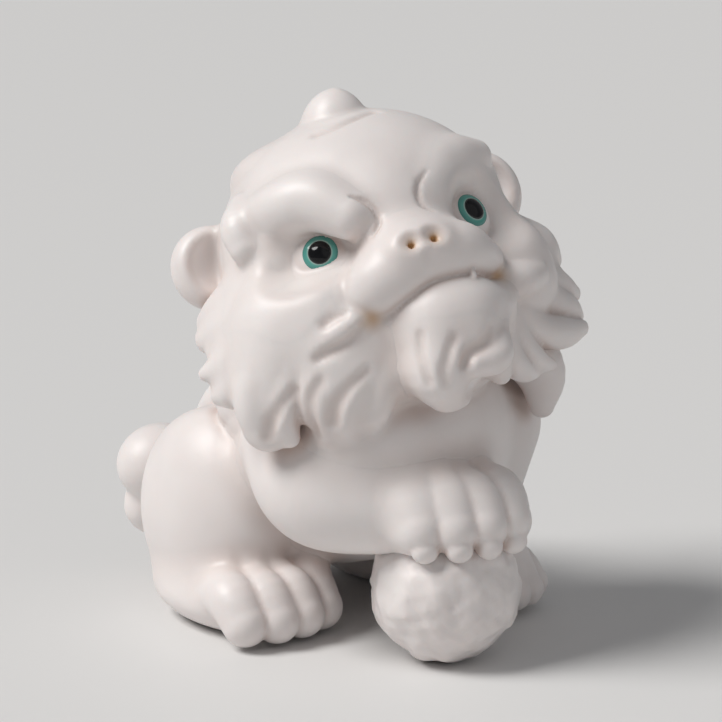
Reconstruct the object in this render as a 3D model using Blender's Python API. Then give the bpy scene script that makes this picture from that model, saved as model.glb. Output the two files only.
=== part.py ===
"""Porcelain guardian lion, seated, with its right forepaw on a ball.

The figure is moulded in sections that are luted together before firing, with inlaid eyes.
Sizes are in millimetres and become metres through MM. The front is -Y, the lion's left is +X.
Points on the head are given round the skull: degrees from the nose, degrees up, mm off its surface.
"""
import math

import bmesh
import bpy
import numpy as np
from mathutils import Euler, Matrix, Vector

MM = 0.001

# Seams
SLIP_GAP = 0.3

# Trunk
CHEST_WIDTH = 35.0
CHEST_DEPTH = 28.0
CHEST_HEIGHT = 33.0
CHEST_RISE = 29.5
CHEST_FORWARD = 4.5
BARREL_WIDTH = 35.0
BARREL_LENGTH = 42.0
BARREL_HEIGHT = 32.0
BARREL_RISE = 23.5
RUMP_WIDTH = 36.0
RUMP_DEPTH = 26.0
RUMP_HEIGHT = 33.0
RUMP_RISE = 3.0
TRUNK_LENGTH = 32.0
NECK_RADIUS = 14.5
SPINE_RADIUS = 4.0
SPINE_SIDE = -4.0

# Hind legs
HIND_STANCE = 20.0
HAUNCH_WIDTH = 19.0
HAUNCH_LENGTH = 29.0
HAUNCH_HEIGHT = 33.0
HAUNCH_INSET = 2.5
HAUNCH_BACK = 21.5
HIND_PAW_WIDTH = 20.5
HIND_PAW_LENGTH = 31.0
HIND_PAW_HEIGHT = 11.0
HIND_PAW_SPLAY = 6.0

# Forelegs
SHOULDER_SPREAD = 16.0
SHOULDER_RADIUS = 10.0
FORELEG_RADIUS = 7.0
RAISED_PAW_WIDTH = 20.0
RAISED_PAW_LENGTH = 19.0
RAISED_PAW_HEIGHT = 11.4
RAISED_PAW_DROP = 5.2
RAISED_PAW_TURN = -22.0
STANDING_PAW_WIDTH = 15.8
STANDING_PAW_LENGTH = 17.0
STANDING_PAW_HEIGHT = 10.6
STANDING_PAW_X = 16.3
STANDING_PAW_Y = -14.2
STANDING_PAW_TURN = 8.0

# Toes
TOE_COUNT = 4
TOE_FULLNESS = 0.74
TOE_STAGGER = 0.8

# Ball
BALL_RADIUS = 11.4
BALL_X = -8.0
BALL_Y = -20.0
BALL_FLAT = 0.25

# Tail
TAIL_RADIUS = 7.4
TAIL_BACK = 43.5
TAIL_RISE = 17.0
TAIL_SIDE = -9.0

# Head and the frame that its pieces share
HEAD_X = -2.8
HEAD_Y = 1.9
HEAD_RISE = 60.4
HEAD_TURN = -29.0
HEAD_LIFT = -24.0
HEAD_TILT = -13.0
SKULL_WIDTH = 44.8
SKULL_DEPTH = 42.0
SKULL_HEIGHT = 40.0
FACE_SWING = -2.5
CHEEK_RADIUS = 12.4
CHIN_WIDTH = 34.0

# Eyes
EYE_TURN = 45.5
EYE_FALL = -11.2
EYE_DEPTH = 6.6
EYE_RADIUS = 5.4
EYE_SPLAY = 24.5
EYE_LOOK_UP = 7.0
IRIS_RADIUS = 2.65
IRIS_DEPTH = 1.2
PUPIL_RADIUS = 1.8
PUPIL_BULGE = 0.35
INLAY_GAP = 0.12
SOCKET_WIDTH = 14.0
SOCKET_DEPTH = 4.8

# Face
EAR_RADIUS = 6.4
EAR_THICKNESS = 7.0
EAR_DISH = 4.6
BROW_RADIUS = 4.2
BROW_LOBE_RADIUS = 2.5
CROWN_RADIUS = 5.4
CROWN_HEIGHT = 6.2
LIP_RADIUS = 4.9
LIP_REACH = 33.0
NOSE_WIDTH = 8.4
JAW_RADIUS = 3.3
JAW_REACH = 30.0
BEARD_RADIUS = 4.2
BEARD_DROP = 13.4
BEARD_SPREAD = 12.5
FANG_RADIUS = 1.0

# Mane. A lock runs from its root to its tip, as (root around, root up, tip around, tip up, tip lift)
RUFF_RADIUS = 4.3
WHISKER_RADIUS = 2.1
RIGHT_TOP_LOCK = (80, -17, 92, -12, 6.5)
RIGHT_SIDE_LOCK = (70, -34, 78, -34, 14.2)
RIGHT_CHIN_LOCK = (33, -45, 52, -52, 13.0)
RIGHT_LOCK_COUNT = 8
LEFT_TOP_LOCK = (85, -13, 89, -21, 6.9)
LEFT_SIDE_LOCK = (65, -41, 82, -40, 13.3)
LEFT_CHIN_LOCK = (28, -50, 36, -60, 11.0)
LEFT_LOCK_COUNT = 7
NAPE_RADIUS = 6.4
NAPE_DROP = 12.8
NAPE_SPREAD = 30.0
NAPE_COUNT = 5

# Mesh fineness
VOXEL = 0.8
EASE_STEPS = 4
TURN_STEPS = 18


def clear_scene():
    for item in list(bpy.data.objects):
        bpy.data.objects.remove(item)


def porcelain(name, colour, roughness):
    material = bpy.data.materials.new(name)
    material.use_nodes = True
    shader = material.node_tree.nodes["Principled BSDF"]
    shader.inputs["Base Color"].default_value = (*colour, 1.0)
    shader.inputs["Roughness"].default_value = roughness
    shader.inputs["Metallic"].default_value = 0.0
    return material


def empty(name, parent=None, place=(0, 0, 0), turn=(0, 0, 0)):
    frame = bpy.data.objects.new(name, None)
    bpy.context.scene.collection.objects.link(frame)
    frame.parent = parent
    frame.location = Vector(place) * MM
    frame.rotation_mode = "QUATERNION"
    frame.rotation_quaternion = Euler([math.radians(a) for a in turn], "YXZ").to_quaternion()
    return frame


def skull_point(around, up, lift):
    """The point lift mm off the skull, around degrees from the nose and up degrees above it."""
    a, e = math.radians(around), math.radians(up)
    way = Vector((math.sin(a) * math.cos(e), -math.cos(a) * math.cos(e), math.sin(e)))
    half = (SKULL_WIDTH / 2, SKULL_DEPTH / 2, SKULL_HEIGHT / 2)
    reach = 1 / math.sqrt(sum((way[i] / half[i]) ** 2 for i in range(3)))
    return way * (reach + lift)


class Clay:
    """Lumps and rolls of clay that will be pressed into one piece."""

    def __init__(self):
        self.bm = bmesh.new()

    def lump(self, place, radii, turn=(0, 0, 0), detail=3):
        spin = Euler([math.radians(a) for a in turn], "XYZ")
        shape = Matrix.LocRotScale(Vector(place), spin, Vector(radii))
        bmesh.ops.create_icosphere(self.bm, subdivisions=detail, radius=1.0, matrix=shape)
        return self

    def roll(self, points, radii, beads=7):
        """A tapered roll through the points, laid as close beads along a smooth line."""
        knots = np.array([[*point, radius] for point, radius in zip(points, radii)])
        knots = np.vstack([2 * knots[0] - knots[1], knots, 2 * knots[-1] - knots[-2]])
        for a, b, c, d in zip(knots, knots[1:], knots[2:], knots[3:]):
            for t in np.linspace(0, 1, beads):
                bead = 0.5 * (2 * b + (c - a) * t + (2 * a - 5 * b + 4 * c - d) * t ** 2
                              + (3 * b - a - 3 * c + d) * t ** 3)
                self.lump(bead[:3], [bead[3]] * 3, detail=2)
        return self


def link_mesh(name, bm, material, parent):
    mesh = bpy.data.meshes.new(name)
    bmesh.ops.scale(bm, vec=(MM, MM, MM), verts=bm.verts)
    bm.to_mesh(mesh)
    bm.free()
    mesh.materials.append(material)
    piece = bpy.data.objects.new(name, mesh)
    bpy.context.scene.collection.objects.link(piece)
    piece.parent = parent
    return piece


def apply_modifiers(piece):
    graph = bpy.context.evaluated_depsgraph_get()
    baked = bpy.data.meshes.new_from_object(piece.evaluated_get(graph))
    piece.modifiers.clear()
    piece.data = baked


def press(name, clay, material, parent, faces, voxel=VOXEL, ease=EASE_STEPS):
    """Presses the clay into one smooth skin of about the given number of triangles."""
    piece = link_mesh(name, clay.bm, material, parent)
    skin = piece.modifiers.new("skin", "REMESH")
    skin.mode = "VOXEL"
    skin.voxel_size = voxel * MM
    soften = piece.modifiers.new("soften", "SMOOTH")
    soften.factor = 0.5
    soften.iterations = ease
    apply_modifiers(piece)
    thin = piece.modifiers.new("thin", "DECIMATE")
    thin.ratio = min(1.0, faces / (2 * len(piece.data.polygons)))
    apply_modifiers(piece)
    return piece


def turned(name, profile, steps, material, parent):
    """Turns a profile of (radius, height) points, from the axis back to the axis, about Z."""
    bm = bmesh.new()
    line = [bm.verts.new((radius, 0, height)) for radius, height in profile]
    edges = [bm.edges.new(pair) for pair in zip(line, line[1:])]
    bmesh.ops.spin(bm, geom=line + edges, axis=(0, 0, 1), cent=(0, 0, 0), angle=math.tau, steps=steps)
    bmesh.ops.remove_doubles(bm, verts=bm.verts, dist=0.001)
    bmesh.ops.recalc_face_normals(bm, faces=bm.faces)
    return link_mesh(name, bm, material, parent)


def cut(piece, cutter):
    trim = piece.modifiers.new("trim", "BOOLEAN")
    trim.operation = "DIFFERENCE"
    trim.solver = "EXACT"
    trim.use_self = True
    trim.object = cutter
    apply_modifiers(piece)


def world_box(piece):
    bpy.context.view_layer.update()
    points = np.array([piece.matrix_world @ vert.co for vert in piece.data.vertices])
    return points.min(0), points.max(0)


def keep_largest(piece):
    """Removes crumbs that a cut has left beside the piece."""
    bm = bmesh.new()
    bm.from_mesh(piece.data)
    unseen = set(bm.verts)
    islands = []
    while unseen:
        island = {unseen.pop()}
        front = list(island)
        while front:
            vert = front.pop()
            fresh = {edge.other_vert(vert) for edge in vert.link_edges} & unseen
            unseen -= fresh
            island |= fresh
            front.extend(fresh)
        islands.append(island)
    islands.sort(key=len)
    for island in islands[:-1]:
        bmesh.ops.delete(bm, geom=list(island), context="VERTS")
    bmesh.ops.triangulate(bm, faces=bm.faces)
    bm.to_mesh(piece.data)
    bm.free()


def seat(piece, standing):
    """Trims a piece against those already standing, with a slip seam between them."""
    for host in standing:
        low, high = world_box(piece)
        host_low, host_high = world_box(host)
        margin = SLIP_GAP * MM
        if (low - margin > host_high).any() or (high + margin < host_low).any():
            continue
        grown = host.copy()
        bpy.context.scene.collection.objects.link(grown)
        swell = grown.modifiers.new("swell", "DISPLACE")
        swell.strength = SLIP_GAP * MM
        swell.mid_level = 0.0
        cut(piece, grown)
        bpy.data.objects.remove(grown)
    keep_largest(piece)


def level(piece, height=0.0):
    """Grinds the underside flat at the given height."""
    bm = bmesh.new()
    bmesh.ops.create_cube(bm, size=400.0, matrix=Matrix.Translation((0, 0, height - 200.0)))
    slab = link_mesh("slab", bm, piece.data.materials[0], None)
    cut(piece, slab)
    bpy.data.objects.remove(slab)


def add_paw(clay, place, turn, width, length, height):
    """A broad foot whose toes point to -Y before the turn; place is the sole under the toes."""
    spin = Matrix.Rotation(math.radians(turn), 3, "Z")

    def at(x, y, z):
        return Vector(place) + spin @ Vector((x, y, z))

    clay.lump(at(0, length * 0.48, height * 0.46), (width * 0.47, length * 0.52, height * 0.5), (0, 0, turn))
    step = width / TOE_COUNT
    toe = step * TOE_FULLNESS
    for index in range(TOE_COUNT):
        off = index - (TOE_COUNT - 1) / 2
        back = TOE_STAGGER * off ** 2
        side = off * step * 0.94
        clay.roll([at(side * 0.8, height + back, height * 0.6), at(side, height * 0.35 + back, height * 0.66),
                   at(side, height * 0.04 + back, height * 0.38)], [toe * 0.9, toe * 1.06, toe * 0.95])


def build_trunk(material, root):
    clay = Clay()
    clay.lump((0, -CHEST_FORWARD, CHEST_RISE), (CHEST_WIDTH / 2, CHEST_DEPTH / 2, CHEST_HEIGHT / 2))
    clay.lump((0, TRUNK_LENGTH * 0.4, BARREL_RISE), (BARREL_WIDTH / 2, BARREL_LENGTH / 2, BARREL_HEIGHT / 2))
    clay.lump((0, TRUNK_LENGTH * 0.82, RUMP_HEIGHT / 2 + RUMP_RISE),
              (RUMP_WIDTH / 2, RUMP_DEPTH / 2, RUMP_HEIGHT / 2))
    nape_rise = HEAD_RISE - NECK_RADIUS
    clay.roll([(0, 0, CHEST_RISE + 4), (HEAD_X * 0.5, HEAD_Y, CHEST_RISE + 10), (HEAD_X, HEAD_Y, nape_rise)],
              [NECK_RADIUS + 1, NECK_RADIUS, NECK_RADIUS - 1])
    clay.roll([(SPINE_SIDE * 0.75, TRUNK_LENGTH * 1.19, RUMP_HEIGHT * 0.73),
               (SPINE_SIDE, TRUNK_LENGTH * 0.97, RUMP_HEIGHT * 0.93),
               (SPINE_SIDE * 1.25, TRUNK_LENGTH * 0.69, RUMP_HEIGHT * 1.1)],
              [SPINE_RADIUS * 0.7, SPINE_RADIUS, SPINE_RADIUS])
    return press("body", clay, material, root, faces=1000, voxel=1.0, ease=8)


def build_hind_leg(name, side, material, root):
    clay = Clay()
    clay.lump((side * (HIND_STANCE - HAUNCH_INSET), HAUNCH_BACK, HAUNCH_HEIGHT / 2 + 0.5),
              (HAUNCH_WIDTH / 2, HAUNCH_LENGTH / 2, HAUNCH_HEIGHT / 2), (0, 0, side * 4))
    add_paw(clay, (side * HIND_STANCE, 1.0, 0), side * HIND_PAW_SPLAY,
            HIND_PAW_WIDTH, HIND_PAW_LENGTH, HIND_PAW_HEIGHT)
    leg = press(name, clay, material, root, faces=800, voxel=0.6, ease=2)
    level(leg)
    return leg


def build_raised_foreleg(material, root):
    top = 2 * BALL_RADIUS
    clay = Clay()
    clay.roll([(-SHOULDER_SPREAD, 2, top + 8.2), (-SHOULDER_SPREAD - 4, -6, top + 3.2),
               (BALL_X - 7, BALL_Y + 5, top + 1), (BALL_X - 3, BALL_Y, top + 0.8)],
              [SHOULDER_RADIUS, FORELEG_RADIUS + 2, FORELEG_RADIUS, FORELEG_RADIUS - 1])
    add_paw(clay, (BALL_X - 2.4, BALL_Y - 7, top - RAISED_PAW_DROP), RAISED_PAW_TURN,
            RAISED_PAW_WIDTH, RAISED_PAW_LENGTH, RAISED_PAW_HEIGHT)
    return press("right_foreleg", clay, material, root, faces=860, voxel=0.6, ease=2)


def build_standing_foreleg(material, root):
    clay = Clay()
    clay.roll([(SHOULDER_SPREAD + 0.8, -3, CHEST_RISE + 1.5),
               (STANDING_PAW_X - 3.8, STANDING_PAW_Y + 6.2, CHEST_RISE - 10),
               (STANDING_PAW_X - 2.3, STANDING_PAW_Y + 5.2, STANDING_PAW_HEIGHT * 0.95)],
              [SHOULDER_RADIUS + 0.8, FORELEG_RADIUS - 0.6, FORELEG_RADIUS - 1.6])
    add_paw(clay, (STANDING_PAW_X, STANDING_PAW_Y, 0), STANDING_PAW_TURN,
            STANDING_PAW_WIDTH, STANDING_PAW_LENGTH, STANDING_PAW_HEIGHT)
    leg = press("left_foreleg", clay, material, root, faces=640, voxel=0.6, ease=2)
    level(leg)
    return leg


def build_ball(material, root):
    clay = Clay().lump((BALL_X, BALL_Y, BALL_RADIUS - BALL_FLAT), [BALL_RADIUS] * 3, detail=4)
    ball = press("ball", clay, material, root, faces=480, ease=1)
    level(ball)
    return ball


def build_tail(material, root):
    clay = Clay()
    side, back, rise = TAIL_SIDE, TAIL_BACK, TAIL_RISE
    clay.roll([(side * 0.3, back - 10, rise - 3), (side * 0.9, back - 1.5, rise - 0.5)],
              [TAIL_RADIUS * 0.8, TAIL_RADIUS * 0.84])
    clay.lump((side * 1.05, back + 0.3, rise + 2.6), (TAIL_RADIUS, TAIL_RADIUS * 0.9, TAIL_RADIUS * 0.9))
    clay.roll([(side * 0.9, back, rise - 1.5), (side * 1.15, back + 1.9, rise - 4.8),
               (side * 1.04, back + 1.1, rise - 8.6)],
              [TAIL_RADIUS * 0.68, TAIL_RADIUS * 0.58, TAIL_RADIUS * 0.24])
    return press("tail", clay, material, root, faces=340)


def eye_place(side):
    return skull_point(side * EYE_TURN, EYE_FALL, -EYE_DEPTH)


def eye_way(side):
    splay, look = math.radians(EYE_SPLAY), math.radians(EYE_LOOK_UP)
    return Vector((side * math.sin(splay) * math.cos(look), -math.cos(splay) * math.cos(look),
                   math.sin(look)))


def build_eye(name, side, materials, head):
    """A ball with a turned recess, which holds a ring for the iris and a domed pupil."""
    frame = empty(name + "_eye_frame", head, eye_place(side))
    frame.rotation_quaternion = eye_way(side).to_track_quat("Z", "Y")
    white = materials["porcelain"]
    bed = IRIS_RADIUS + INLAY_GAP
    rim = math.sqrt(EYE_RADIUS ** 2 - bed ** 2)
    floor = rim - IRIS_DEPTH
    arc = np.linspace(math.pi, math.acos(rim / EYE_RADIUS), 9)
    outline = [(EYE_RADIUS * math.sin(a), EYE_RADIUS * math.cos(a)) for a in arc]
    outline[0] = (0.0, -EYE_RADIUS)
    outline += [(bed, floor), (0.0, floor)]
    ball = turned(name + "_eyeball", outline, TURN_STEPS, white, frame)

    def dome(radius):
        return math.sqrt(EYE_RADIUS ** 2 - radius ** 2)

    hole = PUPIL_RADIUS + INLAY_GAP
    middle = (hole + IRIS_RADIUS) / 2
    low = floor + INLAY_GAP
    ring = [(hole, low), (IRIS_RADIUS, low), (IRIS_RADIUS, dome(IRIS_RADIUS)),
            (middle, dome(middle)), (hole, dome(hole)), (hole, low)]
    iris = turned(name + "_iris", ring, TURN_STEPS, materials["iris"], frame)
    crown = [(PUPIL_RADIUS * math.sin(a), dome(PUPIL_RADIUS) + PUPIL_BULGE * math.cos(a))
             for a in np.linspace(math.pi / 2, 0, 5)]
    crown[-1] = (0.0, crown[-1][1])
    stud = [(0.0, low), (PUPIL_RADIUS, low)] + crown
    pupil = turned(name + "_pupil", stud, TURN_STEPS, materials["pupil"], frame)
    well = press(name + "_well", Clay().lump((0, 0, 0), [EYE_RADIUS] * 3), white, frame, faces=320)
    return [ball, iris, pupil], well


def build_skull(material, head):
    clay = Clay()
    clay.lump((0, 0, 0), (SKULL_WIDTH / 2, SKULL_DEPTH / 2, SKULL_HEIGHT / 2), detail=4)
    for side in (-1, 1):
        cheek = skull_point(side * 71, -37, CHEEK_RADIUS * -0.26)
        clay.lump(cheek, (CHEEK_RADIUS * 1.03, CHEEK_RADIUS * 0.95, CHEEK_RADIUS * 0.85))
        clay.lump(skull_point(side * 64, -26, 0), [CHEEK_RADIUS * 0.4] * 3)
    clay.lump(skull_point(0, -72, 0), (CHIN_WIDTH / 2, CHIN_WIDTH * 0.35, CHIN_WIDTH * 0.26))
    clay.lump(skull_point(FACE_SWING, -51, -8), (CHIN_WIDTH * 0.32, CHIN_WIDTH * 0.34, CHIN_WIDTH * 0.28))
    clay.lump(skull_point(FACE_SWING, -7, -4.3), (5.6, 5.2, 8.0))
    skull = press("head", clay, material, head, faces=1000, voxel=0.9, ease=8)
    for side in (-1, 1):
        opening = eye_place(side) + eye_way(side) * (EYE_RADIUS + SOCKET_DEPTH * 0.6)
        bowl = Clay().lump(opening, (SOCKET_WIDTH / 2, SOCKET_DEPTH, SOCKET_WIDTH * 0.4),
                           (0, 0, side * EYE_SPLAY))
        socket = press("socket", bowl, material, head, faces=160)
        cut(skull, socket)
        bpy.data.objects.remove(socket)
    return skull


def build_muzzle(material, head):
    clay = Clay()
    lips = [skull_point(share * LIP_REACH + FACE_SWING / 2, -22 - 7 * share ** 2, 2.1 - 0.3 * abs(share))
            for share in (-1, -0.5, 0, 0.5, 1)]
    clay.roll(lips, [LIP_RADIUS * share for share in (0.6, 0.98, 1.02, 0.98, 0.6)])
    clay.lump(skull_point(FACE_SWING, -17, -2.5), (7.2, 8.0, 5.2))
    clay.lump(skull_point(FACE_SWING, -16, 5.1), (NOSE_WIDTH / 2, 2.0, 2.2))
    return press("muzzle", clay, material, head, faces=480, voxel=0.6)


def build_jaw(material, head):
    chin = [skull_point(share * JAW_REACH + 4, -39 - 2 * share ** 2, 6.3 - 1.6 * share ** 2)
            for share in (-1, -0.3, 0.3, 1)]
    clay = Clay().roll(chin, [JAW_RADIUS * share for share in (0.75, 1.03, 1.03, 0.7)])
    return press("lower_jaw", clay, material, head, faces=240, voxel=0.6)


def build_beard(material, head):
    clay = Clay()
    for around in (-BEARD_SPREAD, 0, BEARD_SPREAD):
        line = [skull_point(around, -44, 7.2), skull_point(around * 1.1, -48, BEARD_DROP * 0.75),
                skull_point(around - 3, -53, BEARD_DROP * 0.9),
                skull_point(around * 0.7 - 5, -59, BEARD_DROP)]
        clay.roll(line, [BEARD_RADIUS * share for share in (1.0, 1.0, 0.88, 0.46)])
    clay.lump(skull_point(0, -45, 7.2), (BEARD_RADIUS * 1.7, BEARD_RADIUS, BEARD_RADIUS * 1.2))
    return press("beard", clay, material, head, faces=360, voxel=0.6, ease=2)


def build_brow(name, side, material, head):
    """A pillow over the eye, with two lobes that hang outside it."""
    clay = Clay()
    ridge = ((19.5, 2, -0.7, 0.82), (32, 13, -1.5, 1.05), (47, 17, -1.2, 0.98), (65, 17, -0.7, 0.62))
    clay.roll([skull_point(side * around + FACE_SWING, up, lift) for around, up, lift, _ in ridge],
              [BROW_RADIUS * share for _, _, _, share in ridge])
    for lobe in (((73, 25), (70, 15), (69, 7)), ((60, -4), (69, -5), (74, -7))):
        clay.roll([skull_point(side * around, up, 0.1) for around, up in lobe],
                  [BROW_LOBE_RADIUS * share for share in (0.75, 1.0, 0.78)])
    return press(name, clay, material, head, faces=320, voxel=0.6, ease=2)


def build_ear(name, side, material, head):
    place = skull_point(side * 103, 9, EAR_RADIUS * 0.3)
    clay = Clay().lump(place, (EAR_RADIUS, EAR_THICKNESS / 2, EAR_RADIUS * 1.05), (0, 0, side * 10))
    ear = press(name, clay, material, head, faces=240, voxel=0.5)
    front = place + Vector((-side * 0.6, -EAR_THICKNESS * 0.53, -0.2))
    bowl = Clay().lump(front, (EAR_DISH, EAR_THICKNESS * 0.45, EAR_DISH * 1.06), (0, 0, side * 10))
    dish = press("dish", bowl, material, head, faces=160, voxel=0.5)
    cut(ear, dish)
    bpy.data.objects.remove(dish)
    return ear


def build_crown(material, head):
    clay = Clay().roll([skull_point(0, 76, -4.0), skull_point(0, 73, CROWN_HEIGHT * -0.08),
                        skull_point(0, 72, CROWN_HEIGHT * 0.36)],
                       [CROWN_RADIUS, CROWN_RADIUS * 0.78, CROWN_RADIUS * 0.42])
    return press("crown_bud", clay, material, head, faces=160, ease=2)


def build_ruff(name, side, stations, count, whisker, material, head):
    """Locks that sweep out and down from the cheek, from the ear to the chin, and the whisker lock."""
    clay = Clay()
    clay.lump(skull_point(side * 65, -39, 0), (RUFF_RADIUS * 2.3, RUFF_RADIUS * 1.9, RUFF_RADIUS * 1.7))
    for share in np.linspace(0, 1, count):
        root_around, root_up, tip_around, tip_up, far = [np.interp(share, (0, 0.5, 1), row)
                                                         for row in zip(*stations)]
        root = skull_point(side * root_around, root_up, 1.5)
        bend = skull_point(side * (root_around * 0.42 + tip_around * 0.58),
                           root_up * 0.6 + tip_up * 0.4, far * 0.66)
        tip = skull_point(side * tip_around, tip_up, far)
        clay.roll([root, bend, tip], [RUFF_RADIUS, RUFF_RADIUS * 0.9, RUFF_RADIUS * 0.42])
    clay.roll([skull_point(side * (whisker + 7 * step), -32.5, 3.2 + 1.8 * step) for step in range(3)],
              [WHISKER_RADIUS * fullness for fullness in (0.8, 1.0, 0.5)])
    return press(name, clay, material, head, faces=760, voxel=0.7, ease=2)


def build_nape(material, head):
    clay = Clay()
    for index in range(NAPE_COUNT):
        off = index - (NAPE_COUNT - 1) / 2
        around = 180 + off * NAPE_SPREAD
        flare = (off / NAPE_COUNT) ** 2 * 16
        clay.roll([skull_point(around, -7, -6.6 + flare), skull_point(around, -31, 4.8 + flare),
                   skull_point(around, -52, NAPE_DROP + flare * 0.5)],
                  [NAPE_RADIUS * 1.08, NAPE_RADIUS, NAPE_RADIUS * 0.42])
    clay.roll([skull_point(93, -48, NAPE_DROP * 0.5), skull_point(98, -51, NAPE_DROP),
               skull_point(103, -57, NAPE_DROP * 1.3)],
              [NAPE_RADIUS * 0.8, NAPE_RADIUS * 0.64, NAPE_RADIUS * 0.32])
    return press("nape_mane", clay, material, head, faces=420, voxel=0.9, ease=3)


def build_fang(name, side, material, head):
    clay = Clay().roll([skull_point(side * 14.6, -28.5, 6.0), skull_point(side * 14.4, -33, 7.6)],
                       [FANG_RADIUS, FANG_RADIUS * 0.5])
    return press(name, clay, material, head, faces=80, voxel=0.3, ease=1)


def main():
    clear_scene()
    clay_white = porcelain("white_porcelain", (0.83, 0.79, 0.77), 0.32)
    glazes = {"porcelain": clay_white, "iris": porcelain("teal_glaze", (0.10, 0.40, 0.35), 0.12),
              "pupil": porcelain("black_glaze", (0.004, 0.004, 0.005), 0.06)}
    root = empty("lion_root")
    head = empty("head_frame", root, (HEAD_X, HEAD_Y, HEAD_RISE), (HEAD_LIFT, HEAD_TILT, HEAD_TURN))
    sides = (("right", -1), ("left", 1))

    pieces = []
    wells = []

    def luted(piece):
        seat(piece, wells + [other for other in pieces if other not in inlays])
        pieces.append(piece)

    for name, side in sides:
        inlay, well = build_eye(name, side, glazes, head)
        pieces.extend(inlay)
        wells.append(well)
    inlays = list(pieces)
    luted(build_trunk(clay_white, root))
    luted(build_ball(clay_white, root))
    luted(build_skull(clay_white, head))
    luted(build_muzzle(clay_white, head))
    luted(build_jaw(clay_white, head))
    for name, side in sides:
        luted(build_fang(name + "_fang", side, clay_white, head))
    luted(build_beard(clay_white, head))
    luted(build_crown(clay_white, head))
    for name, side in sides:
        luted(build_ear(name + "_ear", side, clay_white, head))
        luted(build_brow(name + "_brow", side, clay_white, head))
    right_locks = (RIGHT_TOP_LOCK, RIGHT_SIDE_LOCK, RIGHT_CHIN_LOCK)
    left_locks = (LEFT_TOP_LOCK, LEFT_SIDE_LOCK, LEFT_CHIN_LOCK)
    luted(build_ruff("right_ruff", -1, right_locks, RIGHT_LOCK_COUNT, 32, clay_white, head))
    luted(build_ruff("left_ruff", 1, left_locks, LEFT_LOCK_COUNT, 42, clay_white, head))
    luted(build_nape(clay_white, head))
    for name, side in sides:
        luted(build_hind_leg(name + "_hind_leg", side, clay_white, root))
    luted(build_raised_foreleg(clay_white, root))
    luted(build_standing_foreleg(clay_white, root))
    luted(build_tail(clay_white, root))

    for well in wells:
        bpy.data.objects.remove(well)
    for piece in pieces:
        piece.data.shade_smooth()
    boxes = [world_box(piece) for piece in pieces]
    low = np.min([box[0] for box in boxes], axis=0)
    high = np.max([box[1] for box in boxes], axis=0)
    root.location = (-(low[0] + high[0]) / 2, -(low[1] + high[1]) / 2, -low[2])


main()
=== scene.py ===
import math

import bpy
import numpy as np
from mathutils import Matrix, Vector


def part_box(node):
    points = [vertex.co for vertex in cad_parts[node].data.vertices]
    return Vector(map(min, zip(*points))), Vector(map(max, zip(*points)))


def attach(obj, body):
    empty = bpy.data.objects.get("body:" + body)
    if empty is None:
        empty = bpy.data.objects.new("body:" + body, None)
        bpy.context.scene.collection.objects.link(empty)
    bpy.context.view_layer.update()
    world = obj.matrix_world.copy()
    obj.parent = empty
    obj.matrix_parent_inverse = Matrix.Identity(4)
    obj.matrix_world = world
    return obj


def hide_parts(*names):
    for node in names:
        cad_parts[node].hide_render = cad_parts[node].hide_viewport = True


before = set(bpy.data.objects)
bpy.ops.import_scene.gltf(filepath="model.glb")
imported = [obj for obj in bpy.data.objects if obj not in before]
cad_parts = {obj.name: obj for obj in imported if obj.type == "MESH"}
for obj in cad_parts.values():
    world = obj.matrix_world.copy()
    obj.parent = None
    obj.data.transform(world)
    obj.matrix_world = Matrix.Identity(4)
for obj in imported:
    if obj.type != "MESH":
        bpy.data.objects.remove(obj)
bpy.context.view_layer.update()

import openvdb
from mathutils import Vector

# Sizes here are in millimetres in the figure's own frame: front -Y, the lion's left +X, up +Z.
# The ball stands at BALL in that frame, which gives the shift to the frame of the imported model.
MM = 0.001
BALL = np.array([-8.0, -20.0, 11.15])
BALL_RADIUS = 11.4
ball_low, ball_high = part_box("ball")
SHIFT = np.array([(ball_low[0] + ball_high[0]) / 2 / MM - BALL[0],
                  (ball_low[1] + ball_high[1]) / 2 / MM - BALL[1], 0.0])
SIDES = ((-1, "right"), (1, "left"))

# Spacing of the skins' points: FINE on the face, PLAIN elsewhere
FINE = 0.42
PLAIN = 0.55


# Signed distance forms

CULL = 9.0
FAR = 1e9
TINY = 1e-9
LEAST_RADIUS = 0.12
PROBES = np.array([[1, -1, -1], [-1, -1, 1], [-1, 1, -1], [1, 1, 1]], float)


class Form:
    """A distance field in mm, with a box that holds its surface. Past CULL the box's distance will do."""

    def __init__(self, field, low, high):
        self.field = field
        self.low = np.asarray(low, float)
        self.high = np.asarray(high, float)

    def __call__(self, points):
        gap = np.maximum(np.maximum(self.low - points, points - self.high), 0.0)
        value = np.sqrt((gap * gap).sum(1))
        near = value < CULL
        if near.all():
            return self.field(points)
        if near.any():
            value[near] = self.field(points[near])
        return value


def slope_of(field, points, reach):
    """The field's mean level round each point, and its slope there."""
    level, slope = np.zeros(len(points)), np.zeros_like(points)
    for probe in PROBES:
        value = field(points + reach * probe)
        level += value / len(PROBES)
        slope += probe * value[:, None] / (len(PROBES) * reach)
    return level, slope


def turn(x=0.0, y=0.0, z=0.0):
    """A turn in degrees: about Y, then X, then Z."""
    a, b, c = np.radians([x, y, z])
    rx = np.array([[1, 0, 0], [0, np.cos(a), -np.sin(a)], [0, np.sin(a), np.cos(a)]])
    ry = np.array([[np.cos(b), 0, np.sin(b)], [0, 1, 0], [-np.sin(b), 0, np.cos(b)]])
    rz = np.array([[np.cos(c), -np.sin(c), 0], [np.sin(c), np.cos(c), 0], [0, 0, 1]])
    return rz @ rx @ ry


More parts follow.
